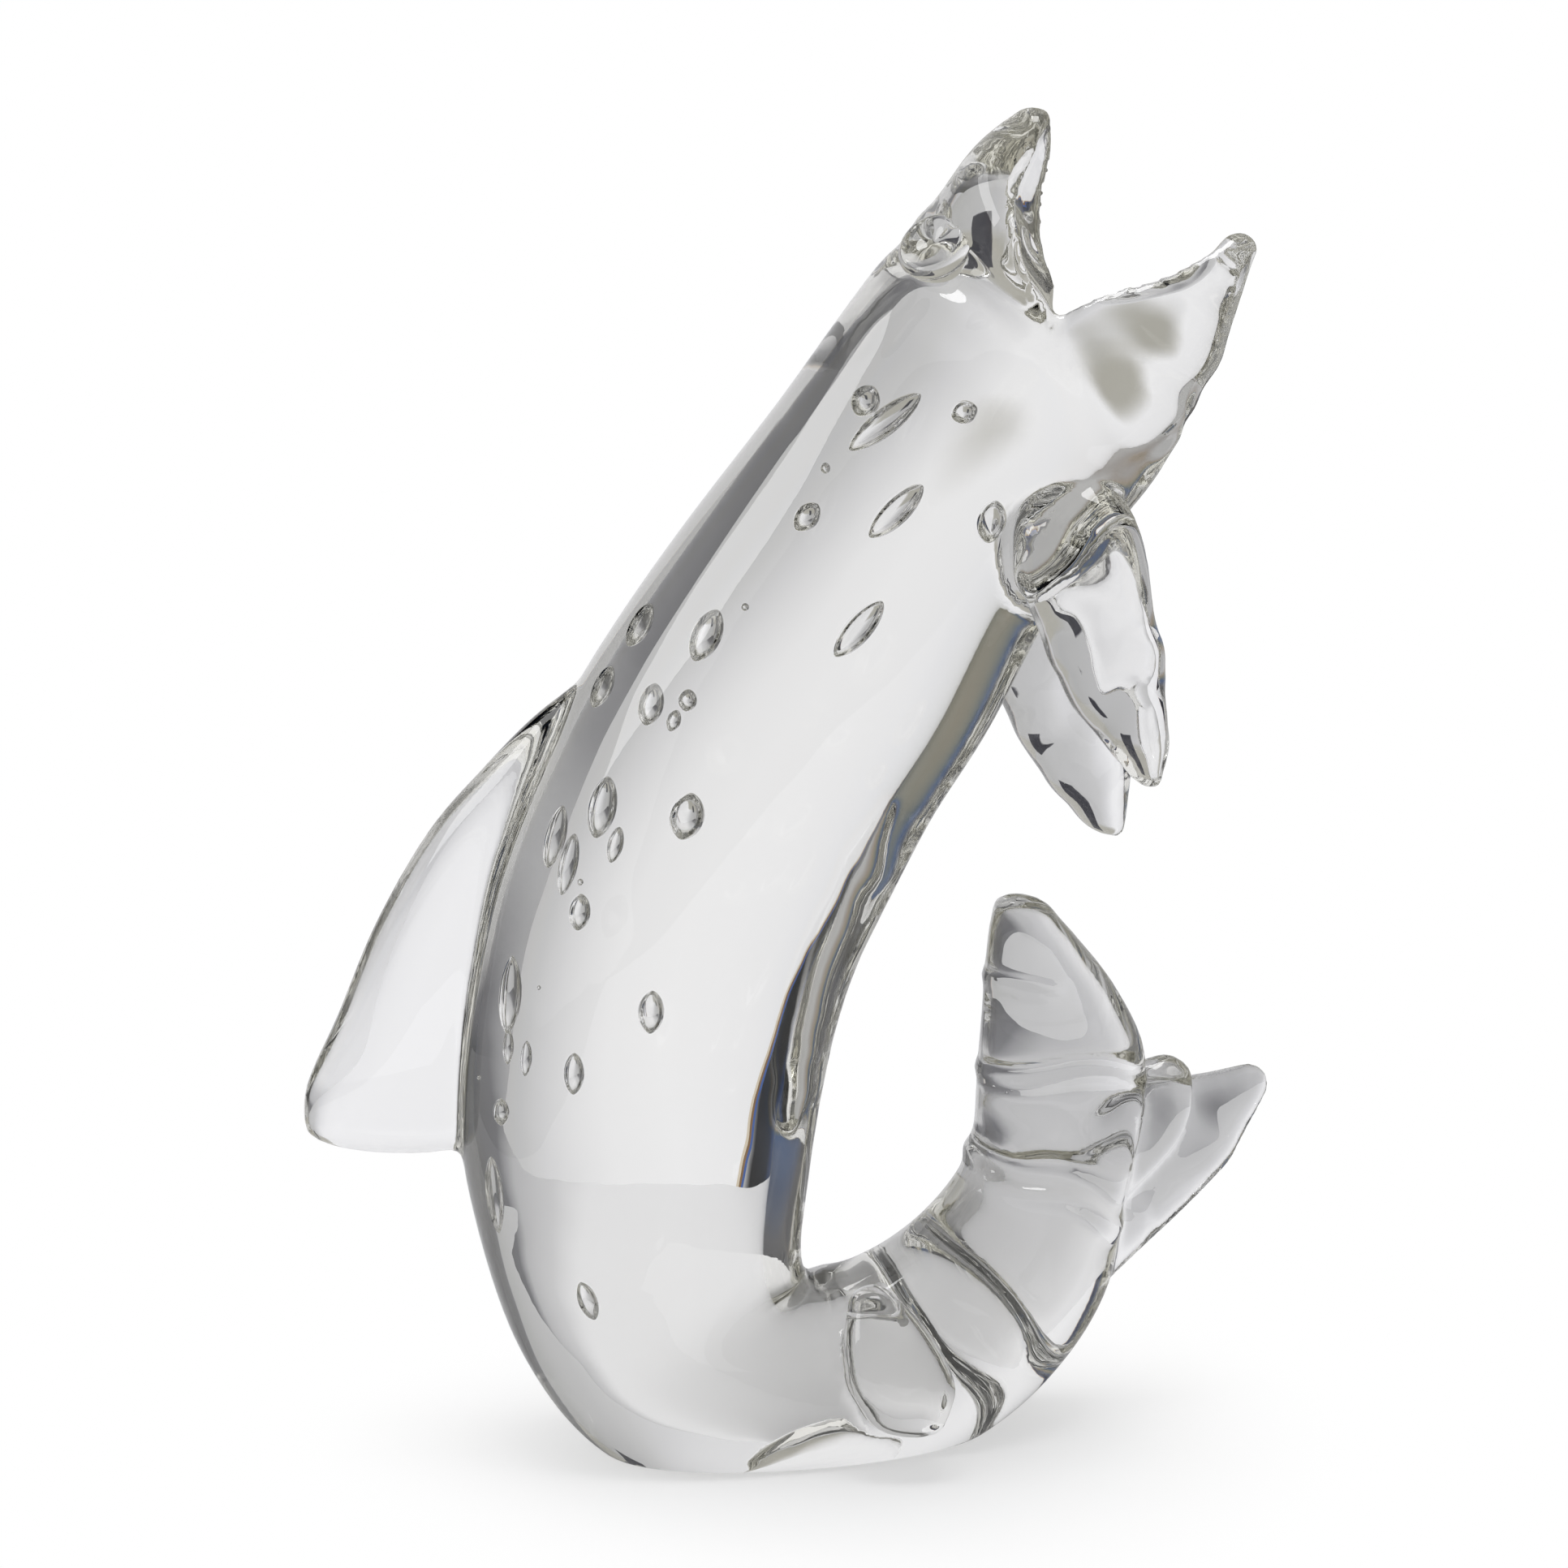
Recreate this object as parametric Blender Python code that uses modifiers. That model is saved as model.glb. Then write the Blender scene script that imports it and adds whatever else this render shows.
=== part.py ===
"""A leaping trout in solid clear glass, worked hot and ground flat underneath to stand.

The body is one J: the head points up to the right with its mouth open, the belly runs
down to a round bend that rests on a flat ground foot, and the tail sweeps up behind it.
The frame has its origin at the middle of the foot, +Z up, the head and tail toward +X,
the back toward -X, and the side with the pelvic fin that shows best toward -Y.

Every limb is a loft through a short table of stations that draws its form. The named
lengths, depths and widths set how large each limb is made, and each limb moves with the
station of the body that carries it. The limbs overlap, melt into one skin, and are then
cut level at the foot.
"""

import math

import bpy
import bmesh
import numpy as np
from mathutils import Matrix, Vector

MM = 0.001

# Sizes of the limbs, in millimetres: length along the limb, depth from back to belly or
# from a fin's front edge to its rear one, and width or thickness across

BODY_LENGTH = 287.7
BODY_DEPTH = 56.6
BODY_WIDTH = 39.2
UPPER_JAW_LENGTH = 40.3
LOWER_JAW_LENGTH = 37.7
DORSAL_FIN_LENGTH = 73.3
DORSAL_FIN_DEPTH = 30.0
DORSAL_FIN_THICKNESS = 13.6
NEAR_PECTORAL_LENGTH = 43.9
NEAR_PECTORAL_DEPTH = 20.4
NEAR_PECTORAL_THICKNESS = 11.2
FAR_PECTORAL_LENGTH = 60.0
FAR_PECTORAL_DEPTH = 21.2
FAR_PECTORAL_THICKNESS = 10.8
TAIL_FAR_LOBE_LENGTH = 43.8
TAIL_FAR_LOBE_DEPTH = 19.2
TAIL_FAR_LOBE_THICKNESS = 10.8
TAIL_MIDDLE_LOBE_LENGTH = 21.4
TAIL_MIDDLE_LOBE_DEPTH = 14.6
TAIL_MIDDLE_LOBE_THICKNESS = 9.2
NEAR_PELVIC_LENGTH = 18.5
NEAR_PELVIC_DEPTH = 16.0
NEAR_PELVIC_THICKNESS = 10.4
FAR_PELVIC_LENGTH = 16.5
FAR_PELVIC_DEPTH = 14.8
FAR_PELVIC_THICKNESS = 9.2

# Stations of the body that stand on the ground and that carry the other limbs, counted
# down from the throat

THROAT_STATION = 0
SHOULDER_STATION = 3
MID_BACK_STATION = 6
FOOT_STATION = 13
NEAR_HIP_STATION = 14
FAR_HIP_STATION = 15
TAIL_FORK_STATION = 16
TAIL_CREASE_STATION = 18

# Skin of the glass, in millimetres

SKIN_STEP = 1.0
MELT_PASSES = 8
MELT_STRENGTH = 0.5
SKIN_TRIANGLES = 9200
FOOT_LEVEL = 0.0
RING_POINTS = 44
RINGS_PER_STATION = 7
CAP_RINGS = 4
CAP_BULGE = 0.8
THROAT_CAP_BULGE = 0.2
BELLY_NARROWING = 0.14
UPPER_JAW_FULLNESS = (1.0, 0.72)
LOWER_JAW_FULLNESS = (0.72, 0.72)
PELVIC_FIN_FULLNESS = (0.55, 0.55)

# Eyes: discs of glass pressed on to the sides of the head. The turns are, in degrees, the
# rise from the rim to the seat, the tilt toward the back and the tilt toward the nose.

EYE_DIAMETER = 11.4
EYE_THICKNESS = 6.8
EYE_RIM_RADIUS = 1.5
EYE_DIMPLE_DEPTH = 0.7
EYE_DIMPLE_DIAMETER = 6.6
EYE_SEAT_DEPTH = 3.8
EYE_FOOT_INSET = 1.2
EYE_SEGMENTS = 28
EYE_STATION = 0.95
NEAR_EYE_TURNS = (51.0, 33.0, 25.0)
FAR_EYE_TURNS = (28.0, 14.0, 10.0)

# Stations. Each row is a section of glass: its centre x, y, z, its reach toward the back
# and toward the belly, its half width, the direction from back to belly in the side view
# as degrees from +X, and its roll in degrees, which turns the belly toward -Y. The jaws end
# with a second roll, that of their rims, which level out toward the corners of the mouth.

BODY = (
    (32.6, 0.0, 170.4, 26.0, 25.2, 14.2, -31.0, 18.0),
    (30.4, 0.0, 167.4, 26.4, 25.4, 15.4, -31.0, 18.0),
    (26.6, 0.0, 162.2, 26.4, 25.8, 17.0, -30.5, 17.0),
    (15.0, 0.0, 146.8, 25.6, 25.4, 18.4, -34.0, 14.0),
    (3.4, 0.0, 128.0, 27.6, 27.0, 19.2, -34.5, 11.0),
    (-5.9, 0.0, 114.0, 28.0, 27.6, 19.5, -30.5, 9.0),
    (-12.8, 0.0, 102.0, 28.2, 28.2, 19.6, -27.0, 7.0),
    (-21.0, 0.0, 83.8, 28.4, 28.2, 19.6, -18.0, 5.0),
    (-25.2, 0.0, 67.3, 28.0, 27.8, 19.4, -9.6, 3.0),
    (-26.8, -0.6, 54.2, 27.5, 27.3, 19.0, 0.0, 2.0),
    (-26.4, -1.4, 41.5, 26.4, 25.6, 18.5, 6.5, 0.0),
    (-23.4, -2.6, 23.2, 23.2, 22.4, 17.8, 21.0, 0.0),
    (-15.6, -2.8, 12.2, 20.6, 20.2, 17.3, 45.0, 0.0),
    (0.0, 0.4, 9.2, 17.8, 17.8, 16.8, 84.0, 0.0),
    (11.5, 3.4, 11.4, 17.4, 17.0, 16.0, 104.0, 0.0),
    (22.0, 6.4, 17.0, 17.2, 16.8, 14.8, 115.5, 0.0),
    (29.8, 9.0, 24.4, 16.8, 16.8, 12.8, 122.0, 0.0),
    (34.2, 11.0, 32.2, 15.6, 15.6, 10.6, 134.0, 0.0),
    (35.6, 12.0, 41.2, 13.8, 13.8, 8.4, 146.0, 0.0),
    (36.8, 12.0, 50.6, 13.8, 13.6, 6.6, 155.0, 0.0),
    (37.4, 11.0, 60.6, 13.0, 12.8, 5.8, 168.0, 0.0),
    (35.2, 10.0, 69.8, 10.2, 10.0, 5.4, 174.0, 0.0),
    (32.6, 9.0, 77.0, 7.0, 6.8, 5.0, 176.0, 0.0),
    (31.4, 8.6, 80.6, 5.0, 5.0, 4.4, 176.0, 0.0),
)

UPPER_JAW = (
    (26.0, 0.0, 166.0, 22.0, 4.0, 14.5, -30.0, 18.0, 16.0),
    (34.2, 0.0, 175.6, 24.4, 0.0, 13.4, -29.0, 18.0, 4.0),
    (32.2, 0.0, 181.6, 18.6, -2.6, 12.9, -30.0, 18.0, 9.0),
    (31.4, 0.0, 186.6, 15.0, -3.4, 12.2, -30.5, 19.0, 12.0),
    (31.3, 0.0, 190.6, 12.6, -3.8, 10.9, -30.5, 20.0, 15.0),
    (32.3, 0.0, 194.6, 10.8, -3.2, 8.9, -29.0, 20.0, 16.0),
    (33.4, 0.0, 199.6, 7.8, -1.6, 6.4, -24.0, 19.0, 14.0),
    (33.3, 0.0, 202.6, 5.0, 0.4, 4.3, -18.0, 18.0, 12.0),
)

LOWER_JAW = (
    (30.0, 0.0, 166.0, 4.0, 22.0, 14.0, -34.0, 18.0, 14.0),
    (36.6, 0.0, 174.6, 0.0, 23.4, 13.2, -38.0, 18.0, 12.0),
    (41.4, 0.0, 177.0, -3.0, 19.8, 12.6, -42.0, 18.0, 16.0),
    (46.6, 0.0, 178.8, -4.0, 16.4, 11.4, -43.0, 18.0, 18.0),
    (51.4, 0.0, 180.4, -3.4, 11.8, 9.4, -44.0, 18.0, 18.0),
    (56.2, 0.0, 182.8, -1.6, 7.4, 7.2, -42.0, 18.0, 18.0),
    (59.6, 0.0, 184.8, 0.8, 4.4, 5.2, -38.0, 18.0, 18.0),
    (61.0, 0.0, 185.6, 1.4, 3.4, 4.2, -36.0, 18.0, 18.0),
)

DORSAL_FIN = (
    (-33.0, 0.6, 116.4, 4.6, 6.0, 2.8, -18.0, 4.0),
    (-36.8, 0.6, 110.4, 6.8, 6.0, 4.6, -22.0, 4.0),
    (-42.0, 0.6, 102.2, 8.8, 8.0, 5.6, -22.0, 4.0),
    (-48.0, 0.6, 91.6, 11.2, 10.0, 6.2, -22.0, 4.0),
    (-54.0, 0.6, 77.8, 13.0, 13.0, 6.6, -18.0, 3.0),
    (-58.6, 0.6, 64.4, 14.2, 13.0, 6.8, -10.0, 2.0),
    (-61.4, 0.6, 55.0, 16.0, 14.0, 6.6, -4.0, 2.0),
    (-62.4, 0.6, 49.8, 15.6, 14.0, 5.6, 0.0, 2.0),
)

NEAR_PECTORAL_FIN = (
    (37.0, -13.0, 152.6, 5.6, 5.6, 3.6, -4.0, 14.0),
    (37.2, -14.6, 149.8, 8.0, 8.0, 4.6, -4.0, 14.0),
    (37.8, -16.4, 145.0, 9.6, 9.6, 5.6, -6.0, 14.0),
    (38.6, -17.6, 138.0, 10.2, 10.2, 4.8, -8.0, 14.0),
    (40.8, -19.6, 130.0, 9.2, 9.2, 4.4, -8.0, 10.0),
    (43.1, -21.6, 122.0, 8.0, 8.0, 4.6, -8.0, 8.0),
    (45.2, -23.0, 115.6, 5.8, 5.8, 4.4, -10.0, 6.0),
    (46.8, -24.0, 111.6, 3.4, 3.4, 3.2, -14.0, 4.0),
)

FAR_PECTORAL_FIN = (
    (29.0, 9.0, 148.0, 6.0, 6.0, 4.0, -20.0, 0.0),
    (33.0, 12.0, 140.0, 8.4, 8.4, 5.2, -16.0, 0.0),
    (35.6, 14.6, 132.0, 10.6, 9.6, 5.4, -12.0, 0.0),
    (36.6, 16.6, 122.4, 11.4, 9.8, 5.0, -12.0, 0.0),
    (37.6, 18.4, 111.8, 11.2, 9.4, 4.6, -14.0, 0.0),
    (39.8, 20.0, 103.2, 9.8, 8.0, 4.6, -16.0, 0.0),
    (41.8, 21.4, 96.2, 7.6, 6.0, 4.2, -18.0, 0.0),
    (43.2, 22.0, 91.8, 5.2, 4.2, 3.2, -20.0, 0.0),
)

TAIL_FAR_LOBE = (
    (36.0, 14.0, 24.0, 9.0, 9.0, 5.4, 136.0, 0.0),
    (43.0, 17.6, 30.4, 9.6, 9.6, 4.8, 137.0, 0.0),
    (50.6, 21.4, 35.6, 9.0, 9.6, 4.4, 138.0, 0.0),
    (57.0, 25.0, 41.2, 9.0, 9.4, 4.2, 138.0, 0.0),
    (61.4, 27.6, 43.6, 6.8, 7.0, 4.0, 136.0, 0.0),
    (65.6, 30.2, 45.8, 4.6, 4.4, 3.6, 132.0, 0.0),
    (68.2, 31.8, 47.2, 3.0, 2.8, 3.0, 130.0, 0.0),
)

TAIL_MIDDLE_LOBE = (
    (42.0, 15.0, 36.0, 6.0, 8.0, 4.6, 150.0, 0.0),
    (49.0, 17.6, 43.4, 6.6, 8.0, 4.4, 150.0, 0.0),
    (53.6, 19.8, 49.0, 5.4, 6.4, 3.8, 146.0, 0.0),
    (55.4, 20.8, 51.6, 3.4, 4.0, 2.8, 142.0, 0.0),
)

NEAR_PELVIC_FIN = (
    (7.8, -13.4, 26.6, 3.4, 3.4, 3.0, 16.0, 0.0),
    (9.4, -14.8, 22.6, 5.8, 5.8, 4.6, 12.0, 0.0),
    (11.4, -16.2, 18.2, 7.4, 7.4, 5.2, 6.0, 0.0),
    (12.8, -17.0, 13.6, 8.0, 8.0, 5.2, 0.0, 0.0),
    (13.2, -17.0, 9.6, 6.4, 6.4, 4.4, -4.0, 0.0),
)

FAR_PELVIC_FIN = (
    (15.8, 19.0, 22.6, 3.0, 3.0, 3.0, 16.0, 0.0),
    (17.4, 19.9, 19.6, 5.2, 5.2, 4.0, 12.0, 0.0),
    (19.6, 20.6, 15.2, 7.0, 7.0, 4.6, 6.0, 0.0),
    (21.0, 21.0, 10.8, 7.4, 7.4, 4.6, 0.0, 0.0),
    (21.2, 21.0, 7.4, 5.4, 5.4, 3.8, -4.0, 0.0),
)


def clear_scene():
    """Start from an empty file."""
    for item in list(bpy.data.objects):
        bpy.data.objects.remove(item, do_unlink=True)


def growth(rows, depth, width):
    """How many times deeper and wider a limb is made than its stations draw it."""
    table = np.array(rows)
    return depth / (table[:, 3] + table[:, 4]).max(), width / (2 * table[:, 5].max())


def fitted(rows, length, deeper, wider, fixed=0):
    """Draw a limb's stations out to its length, depth and width about one that stays put."""
    table = np.array(rows, dtype=float)
    drawn_length = np.linalg.norm(np.diff(table[:, :3], axis=0), axis=1).sum()
    place = table[fixed, :3].copy()
    table[:, :3] = place + (table[:, :3] - place) * length / drawn_length
    table[:, 3:5] *= deeper
    table[:, 5] *= wider
    return table


def seated(limb, body, station):
    """Carry a limb with its body station, out from the middle as the body's girth grows."""
    drawn = BODY[station]
    real = body[station]
    belly, across = section_axes(real[6], real[7], real[7])
    along = belly.cross(across)
    offset = Vector(limb[0][:3]) - Vector(drawn[:3])
    root = (Vector(real[:3]) + belly * offset.dot(belly) * real[3] / drawn[3]
            + across * offset.dot(across) * real[5] / drawn[5] + along * offset.dot(along))
    limb[:, :3] += np.array(root) - limb[0, :3]
    return limb


def limb(rows, body, station, length, depth, width):
    """A limb made to its own sizes, on the body station that carries it."""
    return seated(fitted(rows, length, *growth(rows, depth, width)), body, station)


def smooth_rows(rows, steps):
    """Read a station table as a Catmull-Rom curve, every column alike."""
    table = np.array(rows, dtype=float)
    ends = np.vstack([2 * table[0] - table[1], table, 2 * table[-1] - table[-2]])
    out = []
    for i in range(1, len(ends) - 2):
        before, start, end, after = ends[i - 1:i + 3]
        for step in range(steps):
            t = step / steps
            out.append(0.5 * (2 * start + (end - before) * t
                              + (2 * before - 5 * start + 4 * end - after) * t ** 2
                              + (3 * start - before - 3 * end + after) * t ** 3))
    out.append(table[-1])
    return np.array(out)


def section_axes(angle, roll, rim_roll):
    """The direction from back to belly, and the one across the section, of a rolled station."""
    belly = Vector((math.cos(math.radians(angle)), 0.0, math.sin(math.radians(angle))))
    across = Vector((0.0, 1.0, 0.0))
    turn = math.radians(roll)
    rim_turn = math.radians(rim_roll)
    return (belly * math.cos(turn) - across * math.sin(turn),
            across * math.cos(rim_turn) + belly * math.sin(rim_turn))


def ring(row, narrowing, fullness, size=1.0, shift=Vector()):
    """One closed section: a belly half and a back half that share the half width.

    A reach below zero hollows its half out. The fullness of the back half and of the belly
    half squares their sides where it is under 1.
    """
    x, y, z, to_back, to_belly, half_width, angle, roll = row[:8]
    belly, across = section_axes(angle, roll, row[-1])
    centre = Vector((x, y, z)) + shift
    points = []
    for k in range(RING_POINTS):
        turn = 2 * math.pi * k / RING_POINTS
        depth, side = math.cos(turn), math.sin(turn)
        reach = to_belly if depth > 0 else to_back
        if reach < 0:
            depth = depth * abs(depth)
        side = math.copysign(abs(side) ** fullness[int(depth > 0)], side)
        width = half_width * side * (1 - narrowing * depth)
        points.append(centre + (belly * reach * depth + across * width) * size)
    return points


def loft(mesh, stations, narrowing=0.0, fullness=(1.0, 1.0), front_bulge=CAP_BULGE):
    """Skin a station table and round off both of its ends."""
    rows = smooth_rows(stations, RINGS_PER_STATION)
    rings = [ring(row, narrowing, fullness) for row in rows]
    for end, inner, bulge in ((0, 1, front_bulge), (-1, -2, CAP_BULGE)):
        row = rows[end]
        outward = Vector(row[:3] - rows[inner][:3]).normalized()
        radius = bulge * min(abs(row[3]) + abs(row[4]), 2 * row[5]) / 2
        for step in range(1, CAP_RINGS + 1):
            turn = 0.5 * math.pi * step / (CAP_RINGS + 0.35)
            cap = ring(row, narrowing, fullness, math.cos(turn), outward * radius * math.sin(turn))
            rings.insert(0 if end == 0 else len(rings), cap)
    verts = [[mesh.verts.new(point * MM) for point in points] for points in rings]
    for near, far in zip(verts, verts[1:]):
        for k in range(RING_POINTS):
            after = (k + 1) % RING_POINTS
            mesh.faces.new((near[k], near[after], far[after], far[k]))
    mesh.faces.new(reversed(verts[0]))
    mesh.faces.new(verts[-1])


def fins(body):
    """The long fins and the tail lobes, each at its own size on its station of the body."""
    return (
        limb(DORSAL_FIN, body, MID_BACK_STATION,
             DORSAL_FIN_LENGTH, DORSAL_FIN_DEPTH, DORSAL_FIN_THICKNESS),
        limb(NEAR_PECTORAL_FIN, body, SHOULDER_STATION,
             NEAR_PECTORAL_LENGTH, NEAR_PECTORAL_DEPTH, NEAR_PECTORAL_THICKNESS),
        limb(FAR_PECTORAL_FIN, body, SHOULDER_STATION,
             FAR_PECTORAL_LENGTH, FAR_PECTORAL_DEPTH, FAR_PECTORAL_THICKNESS),
        limb(TAIL_FAR_LOBE, body, TAIL_FORK_STATION,
             TAIL_FAR_LOBE_LENGTH, TAIL_FAR_LOBE_DEPTH, TAIL_FAR_LOBE_THICKNESS),
        limb(TAIL_MIDDLE_LOBE, body, TAIL_CREASE_STATION,
             TAIL_MIDDLE_LOBE_LENGTH, TAIL_MIDDLE_LOBE_DEPTH, TAIL_MIDDLE_LOBE_THICKNESS),
    )


def pelvic_fins(body):
    """The two flat teardrops laid on the flanks beside the foot."""
    return (
        limb(NEAR_PELVIC_FIN, body, NEAR_HIP_STATION,
             NEAR_PELVIC_LENGTH, NEAR_PELVIC_DEPTH, NEAR_PELVIC_THICKNESS),
        limb(FAR_PELVIC_FIN, body, FAR_HIP_STATION,
             FAR_PELVIC_LENGTH, FAR_PELVIC_DEPTH, FAR_PELVIC_THICKNESS),
    )


def glass_material():
    """Clear colourless glass."""
    material = bpy.data.materials.new("clear_glass")
    material.use_nodes = True
    shader = material.node_tree.nodes["Principled BSDF"]
    shader.inputs["Base Color"].default_value = (0.93, 0.95, 0.95, 1.0)
    shader.inputs["Roughness"].default_value = 0.02
    shader.inputs["Metallic"].default_value = 0.0
    shader.inputs["IOR"].default_value = 1.52
    shader.inputs["Transmission Weight"].default_value = 1.0
    return material


def new_object(name, mesh, collection):
    """Put a finished bmesh into the scene as an object."""
    data = bpy.data.meshes.new(name)
    bmesh.ops.recalc_face_normals(mesh, faces=mesh.faces[:])
    mesh.to_mesh(data)
    mesh.free()
    item = bpy.data.objects.new(name, data)
    collection.objects.link(item)
    return item


def make_cutter(item):
    """Mark an object as a helper that the finished model doesn't show."""
    item.hide_render = True
    item.display_type = 'WIRE'


def eye_place(side, turns, head):
    """The seat and the outward direction of the eye on the side at -Y or +Y of the head."""
    rise, tilt, lean = (math.radians(turn) for turn in turns)
    start = int(EYE_STATION)
    share = EYE_STATION - start
    row = head[start] * (1 - share) + head[start + 1] * share
    rim = section_axes(row[6], row[7], row[8])[1]
    belly, across = section_axes(row[6], row[7], row[7])
    seat = (Vector(row[:3]) - belly * row[3] * math.sin(rise)
            + rim * side * row[5] * math.cos(rise))
    outward = across * side * math.cos(tilt) - belly * math.sin(tilt)
    return seat, outward * math.cos(lean) + belly.cross(across) * math.sin(lean)


def eye_disc(name, side, turns, head, collection):
    """A round pad with a full rim and a shallow dimple, seated in the side of the head."""
    outer = EYE_DIAMETER / 2
    top = EYE_THICKNESS - EYE_SEAT_DEPTH
    profile = [(0.0, top - EYE_DIMPLE_DEPTH), (EYE_DIMPLE_DIAMETER / 4, top - EYE_DIMPLE_DEPTH * 0.8)]
    profile.append((EYE_DIMPLE_DIAMETER / 2, top - EYE_DIMPLE_DEPTH * 0.2))
    for step in range(6):
        turn = math.radians(90 - 26 * step)
        profile.append((outer - EYE_RIM_RADIUS * (1 - math.cos(turn)),
                        top - EYE_RIM_RADIUS * (1 - math.sin(turn))))
    profile.append((outer - EYE_FOOT_INSET, -EYE_SEAT_DEPTH))
    profile.append((0.0, -EYE_SEAT_DEPTH))
    mesh = bmesh.new()
    corners = [mesh.verts.new(Vector((radius, 0.0, height)) * MM) for radius, height in profile]
    for start, end in zip(corners, corners[1:]):
        mesh.edges.new((start, end))
    data = bpy.data.meshes.new(name)
    mesh.to_mesh(data)
    mesh.free()
    disc = bpy.data.objects.new(name, data)
    collection.objects.link(disc)
    screw = disc.modifiers.new("Turn", 'SCREW')
    screw.steps = EYE_SEGMENTS
    screw.render_steps = EYE_SEGMENTS
    screw.use_merge_vertices = True
    screw.merge_threshold = 0.00001
    seat, normal = eye_place(side, turns, head)
    disc.matrix_world = (Matrix.Translation(seat * MM)
                         @ normal.to_track_quat('Z', 'Y').to_matrix().to_4x4())
    make_cutter(disc)
    return disc


def ground_block(collection):
    """All the glass below this block's top was ground away to leave the flat foot."""
    mesh = bmesh.new()
    bmesh.ops.create_cube(mesh, size=1.0)
    sides = Vector((BODY_LENGTH, 3 * BODY_WIDTH, BODY_DEPTH))
    bmesh.ops.scale(mesh, vec=sides * MM, verts=mesh.verts)
    block = new_object("ground_away", mesh, collection)
    block.location.z = (FOOT_LEVEL - BODY_DEPTH / 2) * MM
    make_cutter(block)
    return block


def build():
    """Model the sculpture as one solid."""
    clear_scene()
    parts = bpy.data.collections.new("glass_trout_sculpture")
    cutters = bpy.data.collections.new("cutters")
    for collection in (parts, cutters):
        bpy.context.scene.collection.children.link(collection)

    girth = growth(BODY, BODY_DEPTH, BODY_WIDTH)
    body = fitted(BODY, BODY_LENGTH, *girth, fixed=FOOT_STATION)
    head = seated(fitted(UPPER_JAW, UPPER_JAW_LENGTH, *girth), body, THROAT_STATION)
    chin = seated(fitted(LOWER_JAW, LOWER_JAW_LENGTH, *girth), body, THROAT_STATION)
    mesh = bmesh.new()
    loft(mesh, body, BELLY_NARROWING, front_bulge=THROAT_CAP_BULGE)
    loft(mesh, head, fullness=UPPER_JAW_FULLNESS)
    loft(mesh, chin, fullness=LOWER_JAW_FULLNESS)
    for stations in fins(body):
        loft(mesh, stations)
    for stations in pelvic_fins(body):
        loft(mesh, stations, fullness=PELVIC_FIN_FULLNESS)
    trout = new_object("glass_trout", mesh, parts)
    trout.data.materials.append(glass_material())

    skin = trout.modifiers.new("Melt together", 'REMESH')
    skin.mode = 'VOXEL'
    skin.voxel_size = SKIN_STEP * MM
    melt = trout.modifiers.new("Melt smooth", 'SMOOTH')
    melt.factor = MELT_STRENGTH
    melt.iterations = MELT_PASSES
    bpy.context.view_layer.update()
    fused = trout.evaluated_get(bpy.context.evaluated_depsgraph_get()).to_mesh()
    fused.calc_loop_triangles()
    thin = trout.modifiers.new("Fewer faces", 'DECIMATE')
    thin.ratio = min(1.0, SKIN_TRIANGLES / len(fused.loop_triangles))

    for name, side, turns in (("near_eye", -1, NEAR_EYE_TURNS), ("far_eye", 1, FAR_EYE_TURNS)):
        fuse = trout.modifiers.new(name, 'BOOLEAN')
        fuse.operation = 'UNION'
        fuse.object = eye_disc(name + "_disc", side, turns, head, cutters)
    cut = trout.modifiers.new("Ground foot", 'BOOLEAN')
    cut.operation = 'DIFFERENCE'
    cut.object = ground_block(cutters)


build()
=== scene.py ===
"""The look of the glass trout: a smooth melted skin round the same stations as the solid,
disc eyes, tool marks and air bubbles, clear glass, and a white studio with soft light and
the cards that the glass shows.
"""

import math

import bpy
import bmesh
import numpy as np
from mathutils import Matrix, Vector, noise
from mathutils.bvhtree import BVHTree


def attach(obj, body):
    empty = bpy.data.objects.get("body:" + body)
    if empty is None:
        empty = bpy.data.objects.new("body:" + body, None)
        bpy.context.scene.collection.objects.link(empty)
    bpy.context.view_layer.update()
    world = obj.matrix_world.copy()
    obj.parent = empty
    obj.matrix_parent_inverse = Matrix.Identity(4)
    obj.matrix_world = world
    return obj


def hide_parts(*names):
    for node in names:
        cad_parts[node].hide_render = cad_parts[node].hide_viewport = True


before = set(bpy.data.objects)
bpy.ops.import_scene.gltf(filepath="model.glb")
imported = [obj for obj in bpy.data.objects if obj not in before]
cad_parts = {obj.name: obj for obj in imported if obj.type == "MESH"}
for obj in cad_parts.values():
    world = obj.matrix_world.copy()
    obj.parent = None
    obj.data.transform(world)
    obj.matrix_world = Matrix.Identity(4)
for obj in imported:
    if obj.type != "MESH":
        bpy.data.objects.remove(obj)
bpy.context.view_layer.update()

MM = 0.001

# Skin of the glass, in millimetres

SKIN_STEP = 0.9
MELT_PASSES = 6
FINE_STEP = 0.5
FINE_PASSES = 24
EVEN_PASSES = 8
MELT_STRENGTH = 0.5
RING_POINTS = 72
RINGS_PER_STATION = 12
CAP_RINGS = 6
CAP_BULGE = 0.8
CAP_OPENING = 0.35
THROAT_CAP_BULGE = 0.2
BELLY_NARROWING = 0.14
UPPER_JAW_FULLNESS = (1.0, 0.72)
LOWER_JAW_FULLNESS = (0.72, 0.42)
FIN_FULLNESS = (0.7, 0.7)
PELVIC_FIN_FULLNESS = (0.55, 0.55)
TAIL_START = 18
SHARP_ANGLE = 50.0
MERGE_DISTANCE = 0.01

# Eyes: discs of glass pressed on to the sides of the head. The turns are, in degrees, the
# rise from the rim to the seat, the tilt toward the back and the tilt toward the nose.

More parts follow.
